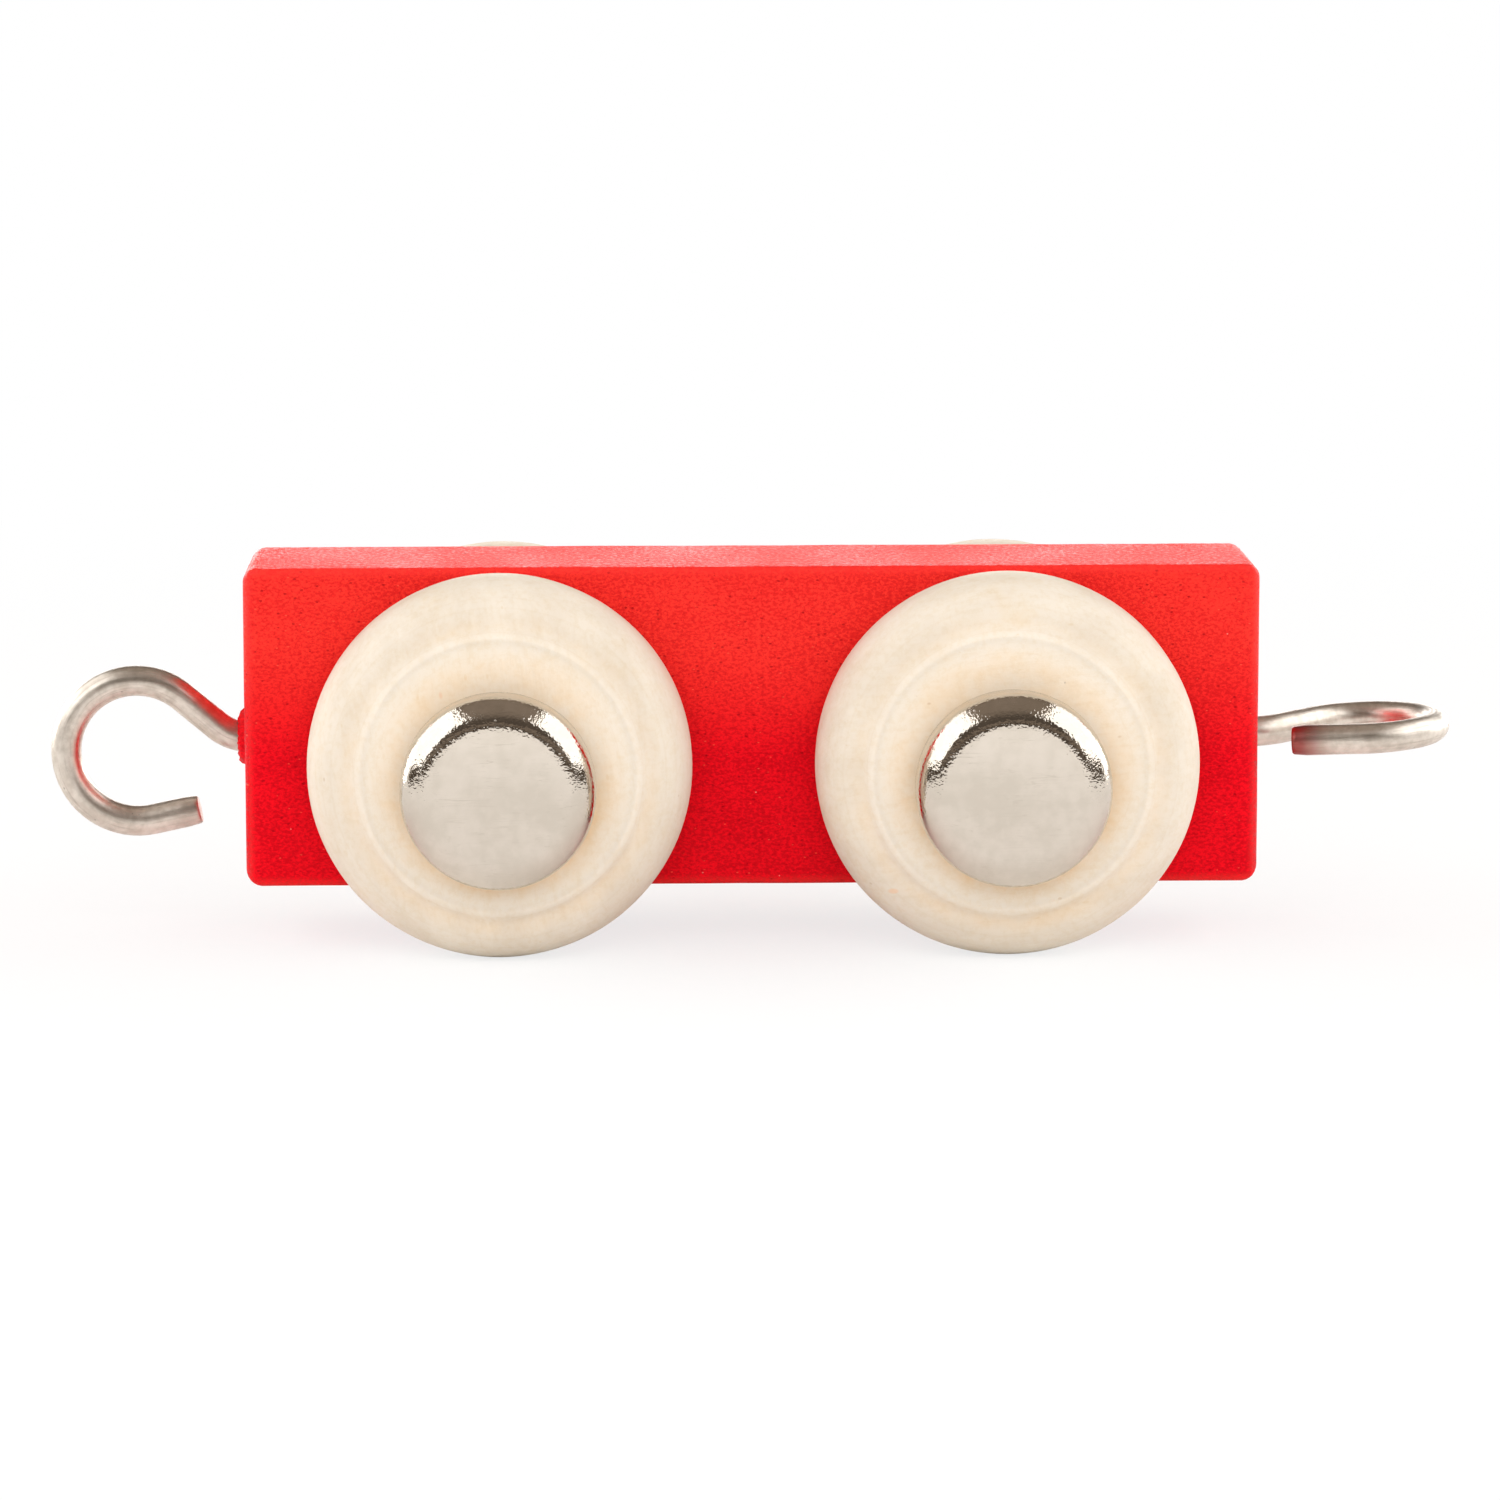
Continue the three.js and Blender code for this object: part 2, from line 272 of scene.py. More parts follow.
def tint(tree, share, first, second, way="MIX"):
    wires = {0: share, 6: opaque(first), 7: opaque(second)}
    return put(tree, "Mix", wires, data_type="RGBA", blend_type=way).outputs[2]


def lay_over(tree, colour, *layers):
    """Lays one tone after another over the colour, each by its mask times its strength."""
    for mask, strength, tone in layers:
        colour = tint(tree, times(tree, mask, strength), colour, tone)
    return colour


def add_layers(tree, value, *layers):
    """Adds a share of each layer to the value. A share below zero digs in."""
    for layer, share in layers:
        value = sum_up(tree, "MULTIPLY_ADD", layer, share, value)
    return value


print("colours can be mixed")

# %% Places and patterns
def vector_sum(tree, operation, *values):
    return put(tree, "VectorMath", dict(enumerate(values)), operation=operation).outputs


def in_millimetres(tree, place):
    return put(tree, "VectorMath", {0: place, "Scale": 1 / MM}, operation="SCALE").outputs[0]


def own_place(tree):
    return put(tree, "TexCoord").outputs["Object"]


def read_note(tree, label):
    """What the points carry under this name."""
    return put(tree, "Attribute", attribute_name=label).outputs["Vector"]


def parts(tree, place):
    return put(tree, "SeparateXYZ", {0: place}).outputs


def out_from_axle(tree, about_hub):
    """How far from the axle a point lies. The axle runs along Y."""
    across = parts(tree, about_hub)
    across = put(tree, "CombineXYZ", {0: across[0], 2: across[2]}).outputs[0]
    return vector_sum(tree, "LENGTH", across)["Value"]


def stretch(tree, place, scale=(1, 1, 1), turn=(0, 0, 0), move=(0, 0, 0)):
    turn = tuple(math.radians(t) for t in turn)
    wires = {"Vector": place, "Scale": scale, "Rotation": turn, "Location": move}
    return put(tree, "Mapping", wires).outputs[0]


def cloud(tree, place, scale=1.0, detail=3.0, rough=0.55):
    wires = {"Vector": place, "Scale": scale, "Detail": detail, "Roughness": rough}
    return put(tree, "TexNoise", wires).outputs[0]


print("patterns can be placed")

# %% Start and close a finish
def new_finish(name):
    finish = bpy.data.materials.new(name)
    finish.use_nodes = True
    finish.node_tree.nodes.clear()
    return finish, finish.node_tree


def close_finish(finish, colour, rough, height, depth, strength, metallic=0.0, **plain):
    """Bump, shader and output: the end of every finish."""
    tree = finish.node_tree
    bump = put(tree, "Bump", {"Height": height, "Distance": depth, "Strength": strength})
    shader = put(tree, "BsdfPrincipled", {"Base Color": colour, "Roughness": rough,
                                          "Metallic": metallic, "Normal": bump.outputs[0]})
    for label, value in plain.items():
        shader.inputs[label.replace("_", " ")].default_value = value
    put(tree, "OutputMaterial", {"Surface": shader.outputs[0]})
    print(finish.name, "has", len(tree.nodes), "nodes")


print("finishes can be made")

# %% [markdown]
# ## Three shared effects
# Specks, hairlines and a cloudy mix turn up in paint, wood and metal alike, each time
# with other sizes. Each is a node group with named inputs, built once. They only put
# out values. The shader itself stays in each material.

# %% Start a shared effect
def shared_effect(name, inputs, output):
    effect = bpy.data.node_groups.new(name, "ShaderNodeTree")
    for label, kind, value in inputs:
        plug = effect.interface.new_socket(name=label, in_out="INPUT", socket_type=kind)
        if value is not None:
            plug.default_value = value
    effect.interface.new_socket(name=output, in_out="OUTPUT", socket_type="NodeSocketFloat")
    start, end = effect.nodes.new("NodeGroupInput"), effect.nodes.new("NodeGroupOutput")
    return effect, start.outputs, end.inputs


# %% Specks: small round spots, here and there
specks, given, gives = shared_effect("specks", [
    ("Place", "NodeSocketVector", None),
    ("Spacing", "NodeSocketFloat", 1.0),
    ("Share", "NodeSocketFloat", 0.3),
    ("Size", "NodeSocketFloat", 0.2)], "Mask")
cells = put(specks, "TexVoronoi", {"Vector": given["Place"],
                                   "Scale": sum_up(specks, "DIVIDE", 1.0, given["Spacing"])})
dice = put(specks, "SeparateColor", {0: cells.outputs["Color"]}).outputs
chosen = sum_up(specks, "LESS_THAN", dice[0], given["Share"])
own_size = times(specks, given["Size"], sum_up(specks, "MULTIPLY_ADD", dice[1], 0.8, 0.3))
spot = fade(specks, sum_up(specks, "DIVIDE", cells.outputs["Distance"], own_size), 1.0, 0.5)
specks.links.new(times(specks, spot, chosen), gives["Mask"])
print("shared effect:", specks.name)

# %% Hairlines: long thin scratches in two directions
hairlines, given, gives = shared_effect("hairlines", [
    ("Place", "NodeSocketVector", None),
    ("Scale", "NodeSocketFloat", 1.0),
    ("Share", "NodeSocketFloat", 0.5)], "Mask")
lines = []
for slant in (24.0, -58.0):
    along = stretch(hairlines, given["Place"], scale=(0.06, 1.0, 1.0), turn=(0, slant, 0))
    line = cloud(hairlines, along, given["Scale"], detail=1.0)
    off_middle = sum_up(hairlines, "ABSOLUTE", sum_up(hairlines, "SUBTRACT", line, 0.5))
    lines.append(fade(hairlines, off_middle, 0.010, 0.002))
where = fade(hairlines, cloud(hairlines, given["Place"], 0.45, detail=1.0), 0.62, 0.42)
where = times(hairlines, where, given["Share"])
both = sum_up(hairlines, "MAXIMUM", *lines)
hairlines.links.new(times(hairlines, both, where), gives["Mask"])
print("shared effect:", hairlines.name)

# %% Mottle: a fine and a broad cloud mixed
mottle, given, gives = shared_effect("mottle", [
    ("Place", "NodeSocketVector", None),
    ("Fine", "NodeSocketFloat", 2.0),
    ("Broad", "NodeSocketFloat", 0.3),
    ("Fine share", "NodeSocketFloat", 0.5)], "Value")
fine = cloud(mottle, given["Place"], given["Fine"])
broad = cloud(mottle, given["Place"], given["Broad"], detail=2.0)
mixed = put(mottle, "Mix", {0: given["Fine share"], 2: broad, 3: fine}, data_type="FLOAT")
mottle.links.new(mixed.outputs[0], gives["Value"])
print("shared effect:", mottle.name)


# %% Place a shared effect in a material
def use(tree, effect, **wires):
    node = tree.nodes.new("ShaderNodeGroup")
    node.node_tree = effect
    wires = {label.replace("_", " "): value for label, value in wires.items()}
    return plug_in(tree, node, wires).outputs[0]


def spots(tree, place, spacing, share, size, scale=(1, 1, 1), move=(0, 0, 0)):
    """Specks that are stretched by a scale, and moved so that no two sets coincide."""
    return use(tree, specks, Place=stretch(tree, place, scale=scale, move=move),
               Spacing=spacing, Share=share, Size=size)


print("shared effects can be used")

# %% [markdown]
# ## Red paint
# The block is sprayed with a satin red. Up close the paint isn't smooth: it follows the
# wood fibres and dries into a fine stipple, drawn out across the block, with pits,
# pimples and specks of dust. Its colour is painted lighter towards the top, as painted
# light from above, and lighter along the edges, as wear with a painted edge highlight.
# The stipple drives colour, roughness and bump together, because on the real block they
# are one and the same unevenness.

# %% Where the edges of the block are
block_low, block_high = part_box("chassis_block")
collar_height = 0.7 * MM
block_low.x += collar_height
block_middle = (block_low + block_high) / 2
block_size = block_high - block_low
print("block in mm", [round(side / MM, 2) for side in block_size])

# %% Red paint: stipple, grit and specks
red_paint, tree = new_finish("satin red paint")
metres = own_place(tree)
place = in_millimetres(tree, metres)
stipple = use(tree, mottle, Place=stretch(tree, place, scale=(0.72, 0.38, 1.15)),
              Fine=5.2, Broad=0.30, Fine_share=0.80)
grit = cloud(tree, place, 9.5, detail=2.0, rough=0.65)
pits = spots(tree, place, spacing=0.42, share=0.30, size=0.24, scale=(0.8, 0.5, 1.2))
pimples = spots(tree, place, spacing=0.50, share=0.40, size=0.22,
                scale=(0.7, 0.4, 1.3), move=(5.3, 2.1, 7.7))
dust = spots(tree, place, spacing=1.7, share=0.28, size=0.060)
print("paint patterns:", len(tree.nodes), "nodes so far")

# %% Red paint: worn edges with a painted edge highlight
# A point has three distances, to the sides across X, Y and Z. The middle one of the
# three is its distance to the nearest edge.
from_middle = vector_sum(tree, "SUBTRACT", metres, tuple(block_middle))[0]
from_middle = vector_sum(tree, "ABSOLUTE", from_middle)[0]
to_side = vector_sum(tree, "SUBTRACT", tuple(block_size / 2), from_middle)[0]
x_side, y_side, z_side = parts(tree, in_millimetres(tree, to_side))
larger = sum_up(tree, "MAXIMUM", x_side, y_side)
smaller = sum_up(tree, "MINIMUM", x_side, y_side)
to_edge = sum_up(tree, "MAXIMUM", smaller, sum_up(tree, "MINIMUM", larger, z_side))
ragged = sum_up(tree, "ADD", to_edge, sum_up(tree, "MULTIPLY_ADD", stipple, 1.1, -0.55))
# The edges get lighter: partly real wear, partly a painted highlight along the edges.
wear_and_edge_highlight = fade(tree, ragged, 0.75, 0.05)
print("paint with worn edges:", len(tree.nodes), "nodes so far")

# %% Red paint: colour, gloss and bump
# Painted light: the red turns lighter and more orange from 12 mm up to the top of the block,
# standing in for light from above.
top_painted_light = fade(tree, parts(tree, place)[2], 12.0, 21.0)
raised = fade(tree, stipple, 0.40, 0.60)
colour = tint(tree, raised, (0.610, 0.0003, 0.0070), (0.860, 0.0030, 0.0120))
top_light_share = times(tree, top_painted_light, sum_up(tree, "MULTIPLY_ADD", raised, 0.5, 0.45))
colour = tint(tree, top_light_share, colour, (0.890, 0.0380, 0.0260))
# Grit, pits, pimples and dust are the paint's own marks. The lighter edges are wear together with a
# painted edge highlight.
colour = lay_over(tree, colour,
                  (fade(tree, grit, 0.54, 0.64), 0.36, (0.46, 0.0005, 0.005)),
                  (pits, 0.60, (0.38, 0.0005, 0.006)),
                  (pimples, 0.62, (0.95, 0.100, 0.060)),
                  (wear_and_edge_highlight, 0.45, (0.92, 0.042, 0.034)),
                  (dust, 0.6, (0.95, 0.30, 0.26)))
rubbed_smooth = sum_up(tree, "SUBTRACT", stipple, times(tree, wear_and_edge_highlight, 0.12))
rough = fade(tree, rubbed_smooth, 0.30, 0.70, 0.30, 0.64)
height = add_layers(tree, stipple, (grit, 0.45), (pits, -0.65), (pimples, 0.45), (dust, 0.4))
close_finish(red_paint, colour, rough, height, depth=0.10 * MM, strength=0.70,
             Specular_IOR_Level=0.06)

# %% [markdown]
# ## Pale turned wood
# The wheels are a pale close-grained hardwood, sanded and left bare. Cut across the
# board, it shows faint upright fibres, warmer clouds of tan, and rings where the
# gouge stopped. A painted shadow turns the wood tan beside the cap and under the raised
# ring, heavier on the lower side. The dish is painted lighter as painted light, and the
# crest of the ring carries a painted highlight. The rings read the note about_hub, and
# the fibres read along_board, which is turned for each wheel so that no two look alike.

# %% Pale wood: grain
pale_wood, tree = new_finish("pale turned wood")
about_hub = in_millimetres(tree, read_note(tree, "about_hub"))
along_board = in_millimetres(tree, read_note(tree, "along_board"))
radius = out_from_axle(tree, about_hub)
_, along_axle, above_axle = parts(tree, about_hub)
fibres = cloud(tree, stretch(tree, along_board, scale=(3.4, 3.4, 0.42)), rough=0.6)
broad_grain = cloud(tree, stretch(tree, along_board, scale=(0.42, 0.42, 0.12)), rough=0.6)
close_grain = cloud(tree, along_board, 2.4, detail=4.0, rough=0.72)
clouds_of_tan = use(tree, mottle, Place=along_board, Fine=0.85, Broad=0.20, Fine_share=0.45)
gouge_spacing = 3.2
gouge = cloud(tree, put(tree, "CombineXYZ", {
    0: times(tree, radius, gouge_spacing),
    1: times(tree, along_axle, gouge_spacing)}).outputs[0], detail=2.0)
print("wood grain:", len(tree.nodes), "nodes so far")

# %% Pale wood: pores, marks, flecks and stains
pores = spots(tree, along_board, spacing=1.25, share=0.22, size=0.10, scale=(1, 1, 0.6))
marks = spots(tree, along_board, spacing=3.4, share=0.30, size=0.060, move=(3.1, 0.0, 1.7))
flecks = spots(tree, along_board, spacing=0.75, share=0.34, size=0.17,
               scale=(1, 1, 0.45), move=(9.4, 0.0, 4.2))
stains = spots(tree, along_board, spacing=3.4, share=0.32, size=0.12,
               scale=(1.6, 1.0, 0.8), move=(2.2, 5.0, 8.3))
print("wood with spots:", len(tree.nodes), "nodes so far")

# %% Pale wood: painted shadow beside the cap and under the ring
# Painted shadow: the wood turns tan beside the cap and under the raised ring, heavier on the lower
# side, where the cap and the ring shade it.
cap_shadow = fade(tree, radius, 8.7, 6.5)
shade_under_ring = times(tree, fade(tree, radius, 9.0, 9.7), fade(tree, radius, 10.9, 9.9))
shadow_heavier_below = fade(tree, above_axle, 6.0, -8.0, 0.35, 1.0)
painted_shadow = sum_up(tree, "ADD", times(tree, cap_shadow, 0.95), times(tree, shade_under_ring, 0.22))
painted_shadow = times(tree, painted_shadow, shadow_heavier_below)
painted_shadow = times(tree, painted_shadow, fade(tree, clouds_of_tan, 0.30, 0.62, 0.35, 1.0))
print("wood with grime:", len(tree.nodes), "nodes so far")

# %% Pale wood: colour
colour = tint(tree, fade(tree, broad_grain, 0.34, 0.66),
              (0.722, 0.645, 0.543), (0.768, 0.698, 0.600))
# Painted light: the dish inside the ring is made lighter so that it looks as lit as the rim, and
# the crest of the ring gets a thin painted highlight.
dish_painted_light = fade(tree, radius, 9.3, 8.3)
crest_highlight = times(tree, fade(tree, radius, 8.2, 8.8), fade(tree, radius, 9.6, 9.1))
colour = lay_over(tree, colour, (dish_painted_light, 0.75, (0.955, 0.875, 0.755)),
                  (crest_highlight, 0.15, (0.965, 0.900, 0.800)))
# The painted shadow tints the wood tan.
colour = tint(tree, painted_shadow, colour, (0.920, 0.640, 0.350))
for share, darker in ((fade(tree, clouds_of_tan, 0.50, 0.74), (0.985, 0.950, 0.890)),
                      (fade(tree, fibres, 0.50, 0.78), (0.980, 0.962, 0.930)),
                      (fade(tree, close_grain, 0.44, 0.64), (0.975, 0.955, 0.915)),
                      (flecks, (0.965, 0.930, 0.860)),
                      (fade(tree, gouge, 0.56, 0.76), (0.980, 0.962, 0.935)),
                      (pores, (0.880, 0.820, 0.750))):
    colour = tint(tree, share, colour, darker, "MULTIPLY")
colour = lay_over(tree, colour, (stains, 0.38, (0.86, 0.47, 0.22)),
                  (marks, 0.40, (0.42, 0.33, 0.25)))
print("wood coloured:", len(tree.nodes), "nodes so far")

# %% Pale wood: gloss and bump
rough = fade(tree, fibres, 0.3, 0.7, 0.54, 0.70)
height = add_layers(tree, sum_up(tree, "ADD", fibres, close_grain),
                    (gouge, 0.35), (pores, -0.7), (marks, -0.5))
close_finish(pale_wood, colour, rough, height, depth=0.040 * MM, strength=0.45,
             Specular_IOR_Level=0.20)

# %% [markdown]
# ## Nickel
# The caps are thin pressed steel with bright nickel on it. Pressing stretches the plate
# most on the shoulder and leaves it slightly wavy there, which breaks up the rim of a
# highlight. Handling leaves hairlines and a few nicks on the flat face. A nearly smooth
# metal with a very fine bump gives the waves, stronger from the edge of the face
# outwards, and the hairlines only change roughness and a little colour.

# %% Nickel
nickel, tree = new_finish("bright nickel")
place = in_millimetres(tree, own_place(tree))
radius = out_from_axle(tree, in_millimetres(tree, read_note(tree, "about_hub")))
waves = cloud(tree, place, 5.0, detail=1.0, rough=0.6)
waves = times(tree, waves, fade(tree, radius, 3.9, 4.9, 0.22, 1.35))
haze = use(tree, mottle, Place=place, Fine=1.4, Broad=0.32, Fine_share=0.4)
scratch = use(tree, hairlines, Place=place, Scale=2.4, Share=0.60)
nicks = spots(tree, place, spacing=1.3, share=0.28, size=0.07)
colour = tint(tree, fade(tree, haze, 0.35, 0.65), (0.585, 0.535, 0.465), (0.660, 0.605, 0.535))
colour = lay_over(tree, colour, (scratch, 0.30, (0.46, 0.40, 0.33)),
                  (nicks, 0.55, (0.40, 0.34, 0.28)))
rough = add_layers(tree, fade(tree, haze, 0.3, 0.7, 0.055, 0.11), (scratch, 0.18))
height = add_layers(tree, waves, (nicks, -1.2))
close_finish(nickel, colour, rough, height, depth=0.020 * MM, strength=0.80,
             metallic=1.0)

# %% [markdown]
# ## Zinc-plated wire
# Wire is pulled through a die, which leaves soft streaks along it, and the zinc on top
# is satin with darker and duller patches. The streaks read the note down_wire: two
# numbers across the wire and the length along it. Squeezing the pattern along the wire
# draws it out into streaks that go round every bend. Near the cut end of the eye the wire
# is tinted dark red as a painted reflection of the red block: a note on each point says
# how near it lies to the tip.

# %% Wire steel
wire_steel, tree = new_finish("zinc plated wire")
down_wire = in_millimetres(tree, read_note(tree, "down_wire"))
streaks = cloud(tree, stretch(tree, down_wire, scale=(5.0, 5.0, 0.28)), rough=0.6)
patches = use(tree, mottle, Place=down_wire, Fine=2.2, Broad=0.45, Fine_share=0.45)
dents = spots(tree, down_wire, spacing=0.9, share=0.25, size=0.13)
# Painted reflection: near the cut end of the eye the wire is tinted dark red, standing in for the
# red block mirrored in it.
red_tip_reflection = parts(tree, read_note(tree, "red_tip_reflection"))[0]
painted_red_reflection = fade(tree, add_layers(tree, red_tip_reflection, (patches, 0.30)), 0.45, 0.95)
colour = tint(tree, fade(tree, patches, 0.35, 0.65),
              (0.590, 0.530, 0.460), (0.790, 0.730, 0.655))
colour = lay_over(tree, colour,
                  (fade(tree, streaks, 0.52, 0.74), 0.40, (0.330, 0.290, 0.245)),
                  (dents, 0.5, (0.22, 0.19, 0.16)),
                  (painted_red_reflection, 0.88, (0.300, 0.016, 0.014)))
fine_grit = cloud(tree, down_wire, 6.5, detail=2.0, rough=0.6)
rough = fade(tree, streaks, 0.3, 0.7, 0.31, 0.46)
height = add_layers(tree, sum_up(tree, "ADD", streaks, patches), (fine_grit, 0.6), (dents, -0.8))
close_finish(wire_steel, colour, rough, height, depth=0.030 * MM, strength=0.50,
             metallic=1.0)

# %% [markdown]
# ## Axle steel and spring steel
# The rods are plain drawn steel, duller than the wire and marked with rings where the
# wheels rub. The washers in the caps are dark hardened spring steel. Both are hardly
# seen, but each still has its own colour, streaks and dirt.

# %% Axle steel
axle_steel, tree = new_finish("drawn axle steel")
place = in_millimetres(tree, own_place(tree))
drawn = cloud(tree, stretch(tree, place, scale=(4.5, 0.25, 4.5)))
rings = cloud(tree, stretch(tree, place, scale=(0.05, 3.0, 0.05)), detail=2.0)
oil = use(tree, mottle, Place=place, Fine=1.3, Broad=0.3, Fine_share=0.5)
colour = tint(tree, fade(tree, oil, 0.35, 0.65), (0.300, 0.285, 0.265), (0.500, 0.485, 0.460))
colour = lay_over(tree, colour, (fade(tree, rings, 0.55, 0.7), 0.35, (0.20, 0.18, 0.16)))
rough = fade(tree, drawn, 0.3, 0.7, 0.30, 0.50)
height = add_layers(tree, drawn, (rings, 0.5))
close_finish(axle_steel, colour, rough, height, depth=0.025 * MM, strength=0.45,
             metallic=1.0)

# %% Spring steel
spring_steel, tree = new_finish("dark spring steel")
place = in_millimetres(tree, own_place(tree))
scale_marks = use(tree, mottle, Place=place, Fine=2.4, Broad=0.5, Fine_share=0.5)
scratch = use(tree, hairlines, Place=place, Scale=1.4, Share=0.8)
colour = tint(tree, fade(tree, scale_marks, 0.35, 0.65),
              (0.085, 0.090, 0.105), (0.190, 0.185, 0.180))
colour = lay_over(tree, colour, (scratch, 0.5, (0.36, 0.35, 0.34)))
rough = fade(tree, scale_marks, 0.3, 0.7, 0.32, 0.52)
close_finish(spring_steel, colour, rough, scale_marks, depth=0.02 * MM, strength=0.4,
             metallic=1.0)

# %% The washers get their spring steel
washers = [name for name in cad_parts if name.startswith("lock_washer")]
for name in washers:
    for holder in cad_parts[name].material_slots:
        holder.material = spring_steel
print(spring_steel.name, "goes on", washers)

# %% [markdown]
# ## The block
# The block is a planed board end with softly sanded edges: the upright corners are the
# roundest, the corners seen from the side less so, and the long edges are only broken.
# One Bevel modifier gives all three, because each edge carries its own bevel weight.
# Cuts a millimetre or two apart then give the faces enough points to be slightly uneven.

# %% Block with three kinds of edge
# One radius for the edges along each of X, Y and Z.
bevel_radius = (0.5 * MM, 1.0 * MM, 1.3 * MM)
pick_nothing()
bpy.ops.mesh.primitive_cube_add(size=1, location=block_middle, scale=block_size)
block = bpy.context.object
settle(block)
roundness = block.data.attributes.new("bevel_weight_edge", "FLOAT", "EDGE")
for edge in block.data.edges:
    start, end = (block.data.vertices[i].co for i in edge.vertices)
    run = [abs(side) for side in end - start]
    roundness.data[edge.index].value = bevel_radius[run.index(max(run))] / bevel_radius[2]
rounding = block.modifiers.new("sanded edges", "BEVEL")
rounding.limit_method = "WEIGHT"
rounding.width = bevel_radius[2]
rounding.segments = 6
bpy.ops.object.modifier_apply(modifier=rounding.name)
print("block bevelled:", len(block.data.polygons), "faces")

# %% Cuts across the block, and soft unevenness
cut_spacing = 1.6 * MM
open_edit(block)
for way in range(3):
    across = Vector([float(way == i) for i in range(3)])
    cuts = int(block_size[way] / cut_spacing)
    for i in range(1, cuts):
        place = block_low + across * block_size[way] * i / cuts
        bpy.ops.mesh.select_all(action="SELECT")
        bpy.ops.mesh.bisect(plane_co=place, plane_no=across)
bpy.ops.mesh.select_all(action="SELECT")
bpy.ops.mesh.remove_doubles(threshold=0.01 * MM)
close_edit()
make_uneven(block, amount=0.07 * MM, spread=7.0 * MM)
print("block cut into", len(block.data.polygons), "faces")

# %% [markdown]
# ## Holes in the block
# Two axle bores go straight through, and a blind pilot hole in each end takes a screw.
# A drill is a cylinder, and a Boolean modifier takes it away. Each drill for a bore
# widens at both ends, which breaks the sharp edge of the hole as a countersink does.
# A Boolean can leave points that lie on each other, so they are merged after each one.

# %% A rod, and a drill
def add_rod(radius, length, middle, turn, sides=64):
    pick_nothing()
    bpy.ops.mesh.primitive_cylinder_add(vertices=sides, radius=radius, depth=length,
                                        location=middle, rotation=turn)
    rod = bpy.context.object
    settle(rod)
    return rod


def drill(piece, cutter, way):
    """Takes the cutter away from the piece, or joins it on."""
    work_on(piece)
    cut = piece.modifiers.new("drill", "BOOLEAN")
    cut.operation = way
    cut.solver = "EXACT"
    cut.object = cutter
    bpy.ops.object.modifier_apply(modifier=cut.name)
    bpy.data.objects.remove(cutter)
    open_edit(piece)
    bpy.ops.mesh.remove_doubles(threshold=0.001 * MM)
    close_edit()


lying_along_x, lying_along_y = (0, math.pi / 2, 0), (math.pi / 2, 0, 0)
print("drill ready")

# %% Drill the axle bores
bore_radius, countersink, countersink_share = 2.3 * MM, 0.25 * MM, 1.13
for name in ("axle_front", "axle_rear"):
    axle_middle = box_and_middle(name)[2]
    bore = add_rod(bore_radius, block_size.y - 2 * countersink, axle_middle, lying_along_y)
    for side in (-1, 1):
        pick_points(bore, lambda co: co.y * side > 0)
        for step, wider in ((countersink, countersink_share), (MM, 1.0)):
            pull_out((0, side * step, 0))
            bpy.ops.transform.resize(value=(wider, 1, wider), center_override=axle_middle)
        close_edit()
    drill(block, bore, "DIFFERENCE")
print("block with bores:", len(block.data.polygons), "faces")

# %% Drill the pilot holes
hole_radius, hole_depth, coupling_height = 1.3 * MM, 11.75 * MM, 13.15 * MM
for side in (-1, 1):
    mouth = Vector((side * block_size.x / 2, 0, coupling_height))
    drill(block, add_rod(hole_radius, 2 * hole_depth, mouth, lying_along_x, sides=32),
          "DIFFERENCE")
print("block drilled:", len(block.data.polygons), "faces")

# %% [markdown]
# ## The torn collar
# Screwing the hook in lifted a small ragged collar of painted fibres round its hole. It
# is spun like a washer, its outer points are shaken a little, and it is joined on with a
# union, so that paint and wood stay one skin.

# %% Torn collar round the hook
# Each place is a distance from the wire's middle and one out from the block, in mm.
collar_template = [(1.12, -0.5), (1.12, 0.50), (1.28, 0.64), (1.52, 0.62), (1.74, 0.46),
                   (1.88, 0.22), (2.20, -0.06), (2.20, -0.5), (1.12, -0.5)]
ragged_from, ragged_by = 1.2 * MM, 0.11 * MM
hook_mouth = Vector((-block_size.x / 2, 0, coupling_height))
collar = draw_section("torn collar", [
    hook_mouth + Vector((-out, 0, r)) * MM for r, out in collar_template])
spin_section(collar, hook_mouth, axis=(1, 0, 0), steps=30)
pick_points(collar, lambda co: co.x < hook_mouth.x - 0.1 * MM
            and (co - hook_mouth).yz.length > ragged_from)
bpy.ops.transform.vertex_random(offset=ragged_by, uniform=1.0, normal=0.0, seed=5)
close_edit()
drill(block, collar, "UNION")
print("block with collar:", len(block.data.polygons), "faces")

# %% Shade and finish the block
def shade(piece, angle=35.0, keep_flat=False):
    """Smooth shading with crisp edges past the angle. keep_flat holds large faces flat."""
    work_on(piece)
    bpy.ops.object.shade_smooth_by_angle(angle=math.radians(angle))
    if keep_flat:
        flat = piece.modifiers.new("flat faces", "WEIGHTED_NORMAL")
        flat.keep_sharp = True
        flat.weight = 80
        bpy.ops.object.modifier_apply(modifier=flat.name)


shade(block, keep_flat=True)
finish_piece(block, "painted_block", "chassis", "chassis_block", red_paint)

# %% [markdown]
# ## The wheels
# Each wheel has a flat back, a softly rounded shoulder, and a raised ring that runs into
# a shallow dish round the hub. That is one section, spun about the wheel's own centre.
# One wheel is drawn. The others are copies, each with its own mesh: one moved along to
# the other axle, and both then swung half a turn to the far side.

